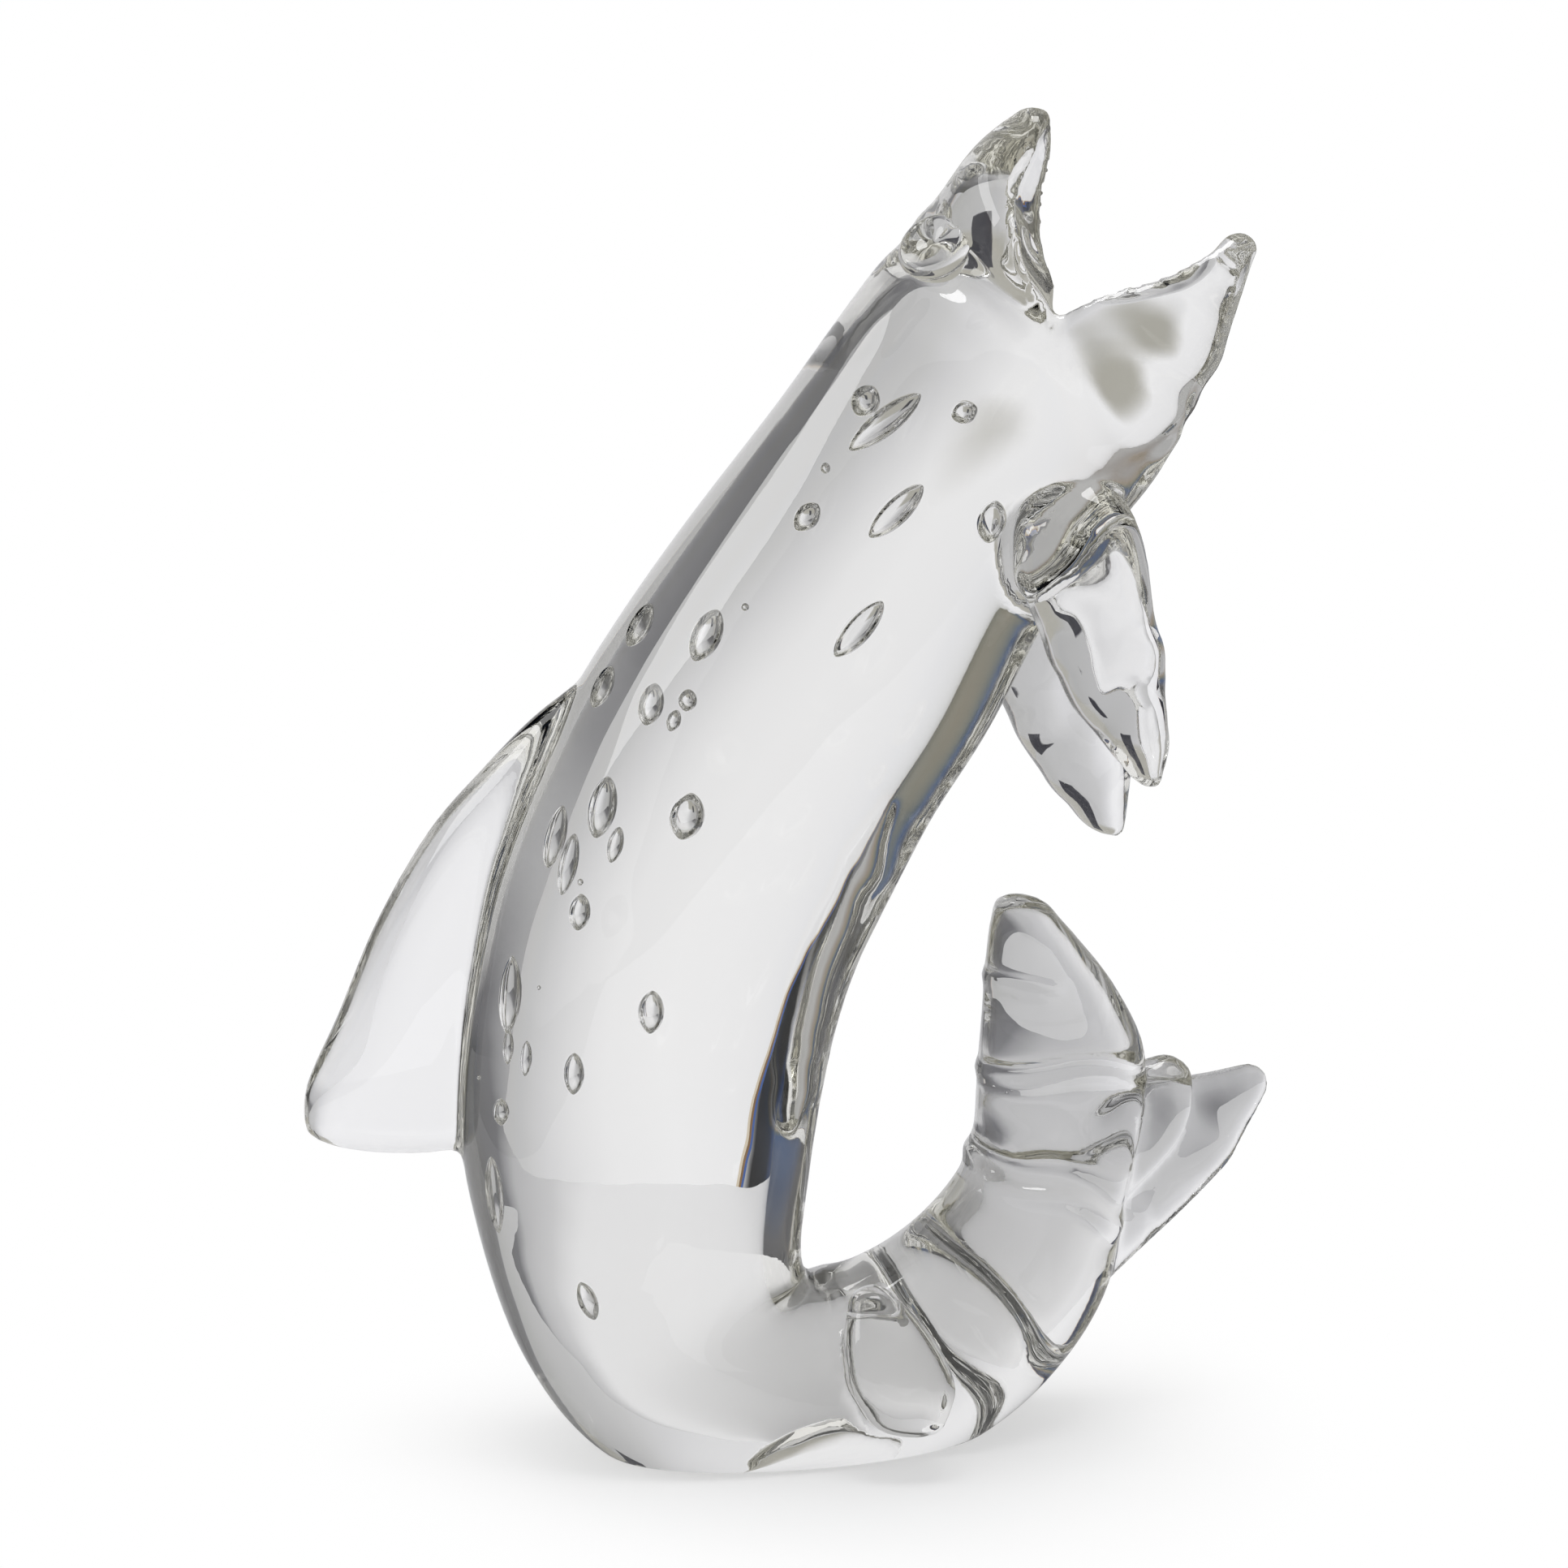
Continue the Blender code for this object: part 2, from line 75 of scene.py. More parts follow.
EYE_DIAMETER = 11.4
EYE_THICKNESS = 6.8
EYE_RIM_RADIUS = 1.5
EYE_DIMPLE_DEPTH = 0.7
EYE_DIMPLE_DIAMETER = 6.6
EYE_SEAT_DEPTH = 3.8
EYE_FOOT_INSET = 1.2
EYE_DIMPLE_STEPS = 5
EYE_RIM_STEPS = 8
EYE_RIM_STEP_TURN = 16.0
EYE_SEGMENTS = 48
EYE_STATION = 0.95
NEAR_EYE_TURNS = (51.0, 33.0, 25.0)
FAR_EYE_TURNS = (28.0, 14.0, 10.0)

# Ripples that the tools left in the skin: middle x, y, z of the rippled place, its radius,
# their depth and their length, all in millimetres.

RIPPLES = (
    (42.5, -21.0, 122.0, 17.0, 1.3, 7.0),
    (39.0, 19.0, 106.0, 20.0, 0.9, 7.0),
    (60.0, 26.0, 42.0, 14.0, 0.4, 7.0),
    (0.0, -2.0, 92.0, 22.0, 0.14, 6.0),
    (-4.0, -2.0, 55.0, 22.0, 0.14, 6.0),
)

# Folds that the tools left across the tail: a place on each, its tilt from level in the side
# view in degrees, its half length, the height and half width of its ridge and the height of
# its waves, all in millimetres.

FOLDS = (
    (34.0, 8.0, 37.5, -26.0, 16.0, 1.25, 1.7, 1.5),
    (36.0, 8.0, 55.0, -3.0, 15.0, 0.7, 1.3, 1.3),
    (30.0, 8.0, 69.5, -24.0, 7.0, 0.55, 1.2, 0.8),
)
FOLD_WAVE_LENGTH = 24.0
FOLD_REACH = 1.5
FOLD_FADE = 1.3

# Camera: a long lens, 15 degrees above the level of the shelf

CAMERA_DISTANCE = 0.9758
CAMERA_ELEVATION = 15.0
CAMERA_LENS = 150.0
CAMERA_TARGET = (-0.0051, 0.0, 0.1033)
SENSOR_WIDTH = 36.0
IMAGE_SIZE = 1932

# Stage, in metres: a small paper table, and the white that the camera sees beyond it. The
# table's shading fades out between a reach and an end, and is thinned to a share.

TABLE_SIDE = 0.22
TABLE_FRONT = 0.30
TABLE_BACK = 0.155
TABLE_TURN = 13.7
SHADOW_REACH = 0.02
SHADOW_END = 0.085
SHADOW_SHARE = 0.50
FLOOR_LEVEL = -0.0003
SWEEP_DROP = 0.0004
SWEEP_SIDE = 3.0
PAPER_TONE = 0.90
PAPER_ROUGHNESS = 0.9

# Lamps: place, the point it faces, direction of its long side, length, width and power

LAMPS = (
    ("top_softbox", (0.02, 0.02, 1.00), (0.0, 0.0, 0.1), (1, 0, 0), 0.5, 0.5, 6.0),
    ("strip_softbox", (-0.46, -0.12, 0.40), (0.0, 0.0, 0.13), (0.08, 0.42, 0.30), 0.46, 0.16, 0.8),
)
LIGHT_BOUNCES = 24
GLOSSY_BOUNCES = 12

# Graded card behind the table, seen only through the glass. Its pale side turns grey across
# a band that leans to the right and narrows going up: the band's middle and width at the
# level of the table and at the top of the sculpture, in metres, and the tones across it,
# counted in band widths from its middle. Thin strips colour the card's left edge, which
# leans to the left.

CARD_BACK = 0.166
CARD_LEFT = -0.061
CARD_LEAN = -0.22
CARD_RIGHT = 0.30
CARD_LOW = -0.03
CARD_HIGH = 0.45
CARD_TOP_LEVEL = 0.20
BAND_MIDDLE = (0.032, 0.088)
BAND_WIDTH = (0.068, 0.018)
CARD_TONES = (
    (-2.5, (0.86, 0.86, 0.88)),
    (-0.8, (0.90, 0.90, 0.92)),
    (-0.4, (0.87, 0.87, 0.89)),
    (-0.15, (0.80, 0.80, 0.82)),
    (0.0, (0.75, 0.75, 0.77)),
    (0.25, (0.67, 0.67, 0.69)),
    (0.6, (0.58, 0.58, 0.59)),
    (1.0, (0.53, 0.53, 0.54)),
    (3.0, (0.46, 0.46, 0.46)),
)
EDGE_STRIP = 0.003
EDGE_TONES = (
    (0.66, 0.58, 0.46),
    (0.22, 0.13, 0.06),
    (0.06, 0.12, 0.34),
)

# Small cards in front of it, for the jaws and the near fin: left, right, low, high, the
# breadth over which the left and low edges fade out, and the tone.

CARD_GAP = 0.001
SMALL_CARDS = (
    ("olive_card", 0.032, 0.300, 0.110, 0.300, 0.022, (0.43, 0.42, 0.38)),
    ("dark_card", 0.109, 0.152, 0.094, 0.180, 0.003, (0.05, 0.05, 0.06)),
)

# Painted shade on the paper the glass shows, darkest where the sculpture's shadow falls: tones from
# left to right across it in metres.

PAINTED_PAPER_SHADE_IN_GLASS = (
    (-0.22, (0.70, 0.70, 0.71)),
    (0.015, (0.70, 0.70, 0.71)),
    (0.040, (0.54, 0.54, 0.55)),
    (0.085, (0.46, 0.46, 0.47)),
    (0.097, (0.34, 0.34, 0.35)),
    (0.115, (0.17, 0.17, 0.18)),
    (0.22, (0.10, 0.10, 0.10)),
)

# Room round the glass: bearing in degrees (0 straight behind the sculpture, positive to the
# right) and the light's colour there. The narrow warm and blue stops edge the dark cards.

ROOM_WALLS = (
    (-180, (0.06, 0.06, 0.06)),
    (-146, (0.06, 0.06, 0.06)),
    (-128, (0.12, 0.12, 0.13)),
    (-118, (0.08, 0.12, 0.22)),
    (-115, (0.14, 0.16, 0.17)),
    (-112, (0.24, 0.23, 0.19)),
    (-109, (0.32, 0.27, 0.22)),
    (-106, (0.34, 0.32, 0.31)),
    (-100, (0.46, 0.46, 0.47)),
    (-74, (0.40, 0.40, 0.40)),
    (-64, (0.18, 0.17, 0.11)),
    (-56, (0.03, 0.05, 0.12)),
    (-50, (0.02, 0.02, 0.02)),
    (-37.5, (0.02, 0.02, 0.02)),
    (-32.5, (0.78, 0.78, 0.80)),
    (-26, (0.84, 0.84, 0.86)),
    (-14, (0.91, 0.91, 0.93)),
    (0, (0.86, 0.86, 0.88)),
    (12, (0.72, 0.72, 0.74)),
    (24, (0.58, 0.58, 0.60)),
    (46, (0.56, 0.56, 0.58)),
    (49, (0.50, 0.44, 0.38)),
    (51, (0.20, 0.20, 0.21)),
    (60, (0.14, 0.14, 0.14)),
    (82, (0.10, 0.10, 0.10)),
    (92, (0.20, 0.20, 0.20)),
    (120, (0.22, 0.22, 0.22)),
    (132, (0.06, 0.06, 0.06)),
    (180, (0.06, 0.06, 0.06)),
)
CEILING_START = 0.60
CEILING_FULL = 0.88
CEILING_TONE = (0.62, 0.62, 0.63)

# Bubbles: picture place x, y in the 1932 pixel frame, length and width in pixels, the lean of
# the long axis in degrees clockwise from upright, and depth under the skin in millimetres.

BUBBLES = (
    (1066, 494, 42, 36, 30, 3.2),
    (1090, 520, 112, 34, 52, 4.2),
    (1188, 508, 34, 29, 70, 3.2),
    (1017, 577, 14, 12, 0, 3.0),
    (994, 637, 42, 30, 40, 3.4),
    (1104, 630, 92, 34, 46, 3.8),
    (1222, 643, 54, 36, 12, 3.4),
    (1058, 775, 90, 34, 41, 3.8),
    (918, 748, 10, 10, 0, 3.0),
    (870, 783, 70, 38, 25, 3.8),
    (788, 770, 60, 26, 28, 3.0),
    (742, 846, 56, 24, 24, 3.0),
    (802, 868, 54, 32, 14, 3.4),
    (847, 863, 28, 24, 10, 3.0),
    (830, 888, 28, 18, 20, 3.0),
    (742, 995, 78, 36, 12, 3.8),
    (684, 1031, 80, 26, 14, 3.0),
    (700, 1065, 78, 24, 12, 3.0),
    (758, 1041, 46, 20, 14, 3.2),
    (846, 1006, 60, 44, 14, 4.4),
    (715, 1087, 9, 8, 0, 3.0),
    (714, 1124, 46, 27, 6, 3.2),
    (628, 1226, 97, 28, 4, 3.0),
    (626, 1290, 44, 14, 2, 3.0),
    (648, 1304, 44, 15, 3, 3.0),
    (802, 1247, 54, 33, 3, 3.8),
    (707, 1323, 52, 26, 1, 3.4),
    (617, 1370, 34, 20, -2, 3.0),
    (590, 1328, 6, 5, 0, 3.0),
    (609, 1473, 95, 22, -6, 3.0),
    (724, 1603, 50, 24, -22, 3.4),
    (664, 1217, 6, 5, 0, 3.0),
)

BUBBLE_RINGS = 14
BUBBLE_SEGMENTS = 24
BUBBLE_POINTEDNESS = 1.25
BUBBLE_ROOM = 0.75

# Glass

GLASS_IOR = 1.52
GLASS_SURFACE = (0.995, 0.995, 0.995)
GLASS_BODY = (0.90, 0.89, 0.82)
GLASS_DENSITY = 8.0

# Stations. Each row is a section of glass: its centre x, y, z, its reach toward the back
# and toward the belly, its half width, the direction from back to belly in the side view
# as degrees from +X, and its roll in degrees, which turns the belly toward -Y. The jaws end
# with a second roll, that of their rims, which level out toward the corners of the mouth.

BODY = (
    (32.6, 0.0, 170.4, 26.0, 25.2, 14.2, -31.0, 18.0),
    (30.4, 0.0, 167.4, 26.4, 25.4, 15.4, -31.0, 18.0),
    (26.6, 0.0, 162.2, 26.4, 25.8, 17.0, -30.5, 17.0),
    (15.0, 0.0, 146.8, 25.6, 25.4, 18.4, -34.0, 14.0),
    (3.4, 0.0, 128.0, 27.6, 27.0, 19.2, -34.5, 11.0),
    (-5.9, 0.0, 114.0, 28.0, 27.6, 19.5, -30.5, 9.0),
    (-12.8, 0.0, 102.0, 28.2, 28.2, 19.6, -27.0, 7.0),
    (-21.0, 0.0, 83.8, 28.4, 28.2, 19.6, -18.0, 5.0),
    (-25.2, 0.0, 67.3, 28.0, 27.8, 19.4, -9.6, 3.0),
    (-26.8, -0.6, 54.2, 27.5, 27.3, 19.0, 0.0, 2.0),
    (-26.4, -1.4, 41.5, 26.4, 25.6, 18.5, 6.5, 0.0),
    (-23.4, -2.6, 23.2, 23.2, 22.4, 17.8, 21.0, 0.0),
    (-15.6, -2.8, 12.2, 20.6, 20.2, 17.3, 45.0, 0.0),
    (0.0, 0.4, 9.2, 17.8, 17.8, 16.8, 84.0, 0.0),
    (11.5, 3.4, 11.4, 17.4, 17.0, 16.0, 104.0, 0.0),
    (22.0, 6.4, 17.0, 17.2, 16.8, 14.8, 115.5, 0.0),
    (29.8, 9.0, 24.4, 16.8, 16.8, 12.8, 122.0, 0.0),
    (34.2, 11.0, 32.2, 15.6, 15.6, 10.6, 134.0, 0.0),
    (35.6, 12.0, 41.2, 13.8, 13.8, 8.4, 146.0, 0.0),
    (36.8, 12.0, 50.6, 13.8, 13.6, 6.6, 155.0, 0.0),
    (37.4, 11.0, 60.6, 13.0, 12.8, 5.8, 168.0, 0.0),
    (35.2, 10.0, 69.8, 10.2, 10.0, 5.4, 174.0, 0.0),
    (32.6, 9.0, 77.0, 7.0, 6.8, 5.0, 176.0, 0.0),
    (31.4, 8.6, 80.6, 5.0, 5.0, 4.4, 176.0, 0.0),
)

UPPER_JAW = (
    (26.0, 0.0, 166.0, 22.0, 4.0, 14.5, -30.0, 18.0, 16.0),
    (34.2, 0.0, 175.6, 24.4, 0.0, 13.4, -29.0, 18.0, 4.0),
    (32.2, 0.0, 181.6, 18.6, -2.6, 12.9, -30.0, 18.0, 9.0),
    (31.4, 0.0, 186.6, 15.0, -3.4, 12.2, -30.5, 19.0, 12.0),
    (31.3, 0.0, 190.6, 12.6, -3.8, 10.9, -30.5, 20.0, 15.0),
    (32.3, 0.0, 194.6, 10.8, -3.2, 8.9, -29.0, 20.0, 16.0),
    (33.4, 0.0, 199.6, 7.8, -1.6, 6.4, -24.0, 19.0, 14.0),
    (33.3, 0.0, 202.6, 5.0, 0.4, 4.3, -18.0, 18.0, 12.0),
)

LOWER_JAW = (
    (30.0, 0.0, 166.0, 4.0, 22.0, 14.0, -34.0, 18.0, 14.0),
    (36.6, 0.0, 174.6, 0.0, 23.4, 13.2, -38.0, 18.0, 12.0),
    (41.4, 0.0, 177.0, -3.0, 19.8, 12.6, -42.0, 18.0, 16.0),
    (46.6, 0.0, 178.8, -4.0, 16.4, 11.4, -43.0, 18.0, 18.0),
    (51.4, 0.0, 180.4, -3.4, 11.8, 9.4, -44.0, 18.0, 18.0),
    (56.2, 0.0, 182.8, -1.6, 7.4, 7.2, -42.0, 18.0, 18.0),
    (59.6, 0.0, 184.8, 0.8, 4.4, 5.2, -38.0, 18.0, 18.0),
    (61.0, 0.0, 185.6, 1.4, 3.4, 4.2, -36.0, 18.0, 18.0),
)

DORSAL_FIN = (
    (-33.0, 0.6, 116.4, 4.6, 6.0, 2.8, -18.0, 4.0),
    (-36.8, 0.6, 110.4, 6.8, 6.0, 4.6, -22.0, 4.0),
    (-42.0, 0.6, 102.2, 8.8, 8.0, 5.6, -22.0, 4.0),
    (-48.0, 0.6, 91.6, 11.2, 10.0, 6.2, -22.0, 4.0),
    (-54.0, 0.6, 77.8, 13.0, 13.0, 6.6, -18.0, 3.0),
    (-58.6, 0.6, 64.4, 14.2, 13.0, 6.8, -10.0, 2.0),
    (-61.4, 0.6, 55.0, 16.0, 14.0, 6.6, -4.0, 2.0),
    (-62.4, 0.6, 49.8, 15.6, 14.0, 5.6, 0.0, 2.0),
)

NEAR_PECTORAL_FIN = (
    (37.0, -13.0, 152.6, 5.6, 5.6, 3.6, -4.0, 14.0),
    (37.2, -14.6, 149.8, 8.0, 8.0, 4.6, -4.0, 14.0),
    (37.8, -16.4, 145.0, 9.6, 9.6, 5.6, -6.0, 14.0),
    (38.6, -17.6, 138.0, 10.2, 10.2, 4.8, -8.0, 14.0),
    (40.8, -19.6, 130.0, 9.2, 9.2, 4.4, -8.0, 10.0),
    (43.1, -21.6, 122.0, 8.0, 8.0, 4.6, -8.0, 8.0),
    (45.2, -23.0, 115.6, 5.8, 5.8, 4.4, -10.0, 6.0),
    (46.8, -24.0, 111.6, 3.4, 3.4, 3.2, -14.0, 4.0),
)

FAR_PECTORAL_FIN = (
    (29.0, 9.0, 148.0, 6.0, 6.0, 4.0, -20.0, 0.0),
    (33.0, 12.0, 140.0, 8.4, 8.4, 5.2, -16.0, 0.0),
    (35.6, 14.6, 132.0, 10.6, 9.6, 5.4, -12.0, 0.0),
    (36.6, 16.6, 122.4, 11.4, 9.8, 5.0, -12.0, 0.0),
    (37.6, 18.4, 111.8, 11.2, 9.4, 4.6, -14.0, 0.0),
    (39.8, 20.0, 103.2, 9.8, 8.0, 4.6, -16.0, 0.0),
    (41.8, 21.4, 96.2, 7.6, 6.0, 4.2, -18.0, 0.0),
    (43.2, 22.0, 91.8, 5.2, 4.2, 3.2, -20.0, 0.0),
)

TAIL_FAR_LOBE = (
    (36.0, 14.0, 24.0, 9.0, 9.0, 5.4, 136.0, 0.0),
    (43.0, 17.6, 30.4, 9.6, 9.6, 4.8, 137.0, 0.0),
    (50.6, 21.4, 35.6, 9.0, 9.6, 4.4, 138.0, 0.0),
    (57.0, 25.0, 41.2, 9.0, 9.4, 4.2, 138.0, 0.0),
    (61.4, 27.6, 43.6, 6.8, 7.0, 4.0, 136.0, 0.0),
    (65.6, 30.2, 45.8, 4.6, 4.4, 3.6, 132.0, 0.0),
    (68.2, 31.8, 47.2, 3.0, 2.8, 3.0, 130.0, 0.0),
)

TAIL_MIDDLE_LOBE = (
    (42.0, 15.0, 36.0, 6.0, 8.0, 4.6, 150.0, 0.0),
    (49.0, 17.6, 43.4, 6.6, 8.0, 4.4, 150.0, 0.0),
    (53.6, 19.8, 49.0, 5.4, 6.4, 3.8, 146.0, 0.0),
    (55.4, 20.8, 51.6, 3.4, 4.0, 2.8, 142.0, 0.0),
)

NEAR_PELVIC_FIN = (
    (7.8, -13.4, 26.6, 3.4, 3.4, 3.0, 16.0, 0.0),
    (9.4, -14.8, 22.6, 5.8, 5.8, 4.6, 12.0, 0.0),
    (11.4, -16.2, 18.2, 7.4, 7.4, 5.2, 6.0, 0.0),
    (12.8, -17.0, 13.6, 8.0, 8.0, 5.2, 0.0, 0.0),
    (13.2, -17.0, 9.6, 6.4, 6.4, 4.4, -4.0, 0.0),
)

FAR_PELVIC_FIN = (
    (15.8, 19.0, 22.6, 3.0, 3.0, 3.0, 16.0, 0.0),
    (17.4, 19.9, 19.6, 5.2, 5.2, 4.0, 12.0, 0.0),
    (19.6, 20.6, 15.2, 7.0, 7.0, 4.6, 6.0, 0.0),
    (21.0, 21.0, 10.8, 7.4, 7.4, 4.6, 0.0, 0.0),
    (21.2, 21.0, 7.4, 5.4, 5.4, 3.8, -4.0, 0.0),
)


def smooth_rows(rows, steps):
    """Read a station table as a Catmull-Rom curve, every column alike."""
    table = np.array(rows, dtype=float)
    ends = np.vstack([2 * table[0] - table[1], table, 2 * table[-1] - table[-2]])
    out = []
    for i in range(1, len(ends) - 2):
        before, start, end, after = ends[i - 1:i + 3]
        for step in range(steps):
            t = step / steps
            out.append(0.5 * (2 * start + (end - before) * t
                              + (2 * before - 5 * start + 4 * end - after) * t ** 2
                              + (3 * start - before - 3 * end + after) * t ** 3))
    out.append(table[-1])
    return np.array(out)


def section_axes(angle, roll, rim_roll):
    """The direction from back to belly, and the one across the section, of a rolled station."""
    belly = Vector((math.cos(math.radians(angle)), 0.0, math.sin(math.radians(angle))))
    across = Vector((0.0, 1.0, 0.0))
    turn = math.radians(roll)
    rim_turn = math.radians(rim_roll)
    return (belly * math.cos(turn) - across * math.sin(turn),
            across * math.cos(rim_turn) + belly * math.sin(rim_turn))


def ring(row, narrowing, fullness, size=1.0, shift=Vector()):
    """One closed section: a belly half and a back half that share the half width."""
    x, y, z, to_back, to_belly, half_width, angle, roll = row[:8]
    belly, across = section_axes(angle, roll, row[-1])
    centre = Vector((x, y, z)) + shift
    points = []
    for k in range(RING_POINTS):
        turn = 2 * math.pi * k / RING_POINTS
        depth, side = math.cos(turn), math.sin(turn)
        reach = to_belly if depth > 0 else to_back
        if reach < 0:
            depth = depth * abs(depth)
        side = math.copysign(abs(side) ** fullness[int(depth > 0)], side)
        width = half_width * side * (1 - narrowing * depth)
        points.append(centre + (belly * reach * depth + across * width) * size)
    return points


def loft(mesh, stations, narrowing=0.0, fullness=(1.0, 1.0), front_bulge=CAP_BULGE):
    """Skin a station table and round off both of its ends."""
    rows = smooth_rows(stations, RINGS_PER_STATION)
    rings = [ring(row, narrowing, fullness) for row in rows]
    for end, inner, bulge in ((0, 1, front_bulge), (-1, -2, CAP_BULGE)):
        row = rows[end]
        outward = Vector(row[:3] - rows[inner][:3]).normalized()
        radius = bulge * min(abs(row[3]) + abs(row[4]), 2 * row[5]) / 2
        for step in range(1, CAP_RINGS + 1):
            turn = 0.5 * math.pi * step / (CAP_RINGS + CAP_OPENING)
            cap = ring(row, narrowing, fullness, math.cos(turn), outward * radius * math.sin(turn))
            rings.insert(0 if end == 0 else len(rings), cap)
    verts = [[mesh.verts.new(point * MM) for point in points] for points in rings]
    for near, far in zip(verts, verts[1:]):
        for k in range(RING_POINTS):
            after = (k + 1) % RING_POINTS
            mesh.faces.new((near[k], near[after], far[after], far[k]))
    mesh.faces.new(reversed(verts[0]))
    mesh.faces.new(verts[-1])


def new_object(name, mesh):
    """Put a finished bmesh into the scene as an object."""
    data = bpy.data.meshes.new(name)
    mesh.to_mesh(data)
    mesh.free()
    item = bpy.data.objects.new(name, data)
    bpy.context.scene.collection.objects.link(item)
    return item


def bake_modifiers(item):
    """Swap an object's mesh for the one its modifiers make."""
    bpy.context.view_layer.update()
    solved = item.evaluated_get(bpy.context.evaluated_depsgraph_get())
    data = bpy.data.meshes.new_from_object(solved)
    item.modifiers.clear()
    item.data = data


def eye_place(side, turns):
    """The seat and the outward direction of the eye on the side at -Y or +Y."""
    rise, tilt, lean = (math.radians(turn) for turn in turns)
    start = int(EYE_STATION)
    share = EYE_STATION - start
    row = [a * (1 - share) + b * share for a, b in zip(UPPER_JAW[start], UPPER_JAW[start + 1])]
    rim = section_axes(row[6], row[7], row[8])[1]
    belly, across = section_axes(row[6], row[7], row[7])
    seat = (Vector(row[:3]) - belly * row[3] * math.sin(rise)
            + rim * side * row[5] * math.cos(rise))
    outward = across * side * math.cos(tilt) - belly * math.sin(tilt)
    return seat, outward * math.cos(lean) + belly.cross(across) * math.sin(lean)


def eye_disc(name, side, turns):
    """A round pad with a full rim and a shallow dimple, seated in the side of the head."""
    outer = EYE_DIAMETER / 2
    top = EYE_THICKNESS - EYE_SEAT_DEPTH
    profile = [(0.0, top - EYE_DIMPLE_DEPTH)]
    for step in range(1, EYE_DIMPLE_STEPS + 1):
        share = step / EYE_DIMPLE_STEPS
        rise = 0.5 - 0.5 * math.cos(math.pi * share)
        profile.append((share * EYE_DIMPLE_DIAMETER / 2, top - EYE_DIMPLE_DEPTH * (1 - rise)))
    for step in range(EYE_RIM_STEPS + 1):
        turn = math.radians(90 - EYE_RIM_STEP_TURN * step)
        profile.append((outer - EYE_RIM_RADIUS * (1 - math.cos(turn)),
                        top - EYE_RIM_RADIUS * (1 - math.sin(turn))))
    profile.append((outer - EYE_FOOT_INSET, -EYE_SEAT_DEPTH))
    profile.append((0.0, -EYE_SEAT_DEPTH))
    mesh = bmesh.new()
    seat, normal = eye_place(side, turns)
    place = Matrix.Translation(seat * MM) @ normal.to_track_quat('Z', 'Y').to_matrix().to_4x4()
    corners = [mesh.verts.new(place @ (Vector((radius, 0.0, height)) * MM))
               for radius, height in profile]
    edges = [mesh.edges.new(pair) for pair in zip(corners, corners[1:])]
    bmesh.ops.spin(mesh, geom=corners + edges, cent=seat * MM, axis=normal, angle=2 * math.pi,
                   steps=EYE_SEGMENTS)
    bmesh.ops.remove_doubles(mesh, verts=mesh.verts, dist=MERGE_DISTANCE * MM)
    bmesh.ops.recalc_face_normals(mesh, faces=mesh.faces[:])
    return new_object(name, mesh)


def trout_skin():
    """Every limb melted into one smooth body, with the eyes pressed on and the foot ground flat."""
    mesh = bmesh.new()
    loft(mesh, BODY, BELLY_NARROWING, front_bulge=THROAT_CAP_BULGE)
    loft(mesh, UPPER_JAW, fullness=UPPER_JAW_FULLNESS)
    loft(mesh, LOWER_JAW, fullness=LOWER_JAW_FULLNESS)
    for stations in (DORSAL_FIN, NEAR_PECTORAL_FIN, FAR_PECTORAL_FIN,
                     BODY[TAIL_START:], TAIL_FAR_LOBE, TAIL_MIDDLE_LOBE):
        loft(mesh, stations, fullness=FIN_FULLNESS)
    for stations in (NEAR_PELVIC_FIN, FAR_PELVIC_FIN):
        loft(mesh, stations, fullness=PELVIC_FIN_FULLNESS)
    bmesh.ops.recalc_face_normals(mesh, faces=mesh.faces[:])
    trout = new_object("trout_glass", mesh)
    melted = bpy.data.objects.new("melted_skin", trout.data.copy())
    bpy.context.scene.collection.objects.link(melted)
    for item, step, passes in ((melted, FINE_STEP, FINE_PASSES), (trout, SKIN_STEP, MELT_PASSES)):
        skin = item.modifiers.new("Melt together", 'REMESH')
        skin.mode = 'VOXEL'
        skin.voxel_size = step * MM
        melt = item.modifiers.new("Melt smooth", 'SMOOTH')
        melt.factor = MELT_STRENGTH
        melt.iterations = passes
        bake_modifiers(item)
    lay = trout.modifiers.new("Lay on the fine skin", 'SHRINKWRAP')
    lay.target = melted
    lay.wrap_method = 'NEAREST_SURFACEPOINT'
    even = trout.modifiers.new("Even out", 'SMOOTH')
    even.factor = MELT_STRENGTH
    even.iterations = EVEN_PASSES
    bake_modifiers(trout)
    bpy.data.objects.remove(melted)

    for name, side, turns in (("near_eye", -1.0, NEAR_EYE_TURNS), ("far_eye", 1.0, FAR_EYE_TURNS)):
        disc = eye_disc(name + "_disc", side, turns)
        fuse = trout.modifiers.new(name, 'BOOLEAN')
        fuse.operation = 'UNION'
        fuse.object = disc
        bake_modifiers(trout)
        bpy.data.objects.remove(disc)

    mesh = bmesh.new()
    mesh.from_mesh(trout.data)
    ripple(mesh)
    fold(mesh)
    cut = bmesh.ops.bisect_plane(mesh, geom=mesh.verts[:] + mesh.edges[:] + mesh.faces[:],
                                 plane_co=(0, 0, 0), plane_no=(0, 0, -1), clear_outer=True)
    rim = [item for item in cut["geom_cut"] if isinstance(item, bmesh.types.BMEdge)]
    bmesh.ops.holes_fill(mesh, edges=rim, sides=0)
    bmesh.ops.recalc_face_normals(mesh, faces=mesh.faces[:])
    mesh.to_mesh(trout.data)
    mesh.free()
    return trout


def ripple(mesh):
    """Ruffle the skin where the tools pinched it, and fade the ripples out round each place."""
    for x, y, z, radius, depth, length in RIPPLES:
        middle = Vector((x, y, z)) * MM
        for corner in mesh.verts:
            share = 1 - (corner.co - middle).length / (radius * MM)
            if share > 0:
                height = noise.noise(corner.co / (length * MM)) * depth * MM
                corner.co += corner.normal * height * min(1.0, 2 * share)


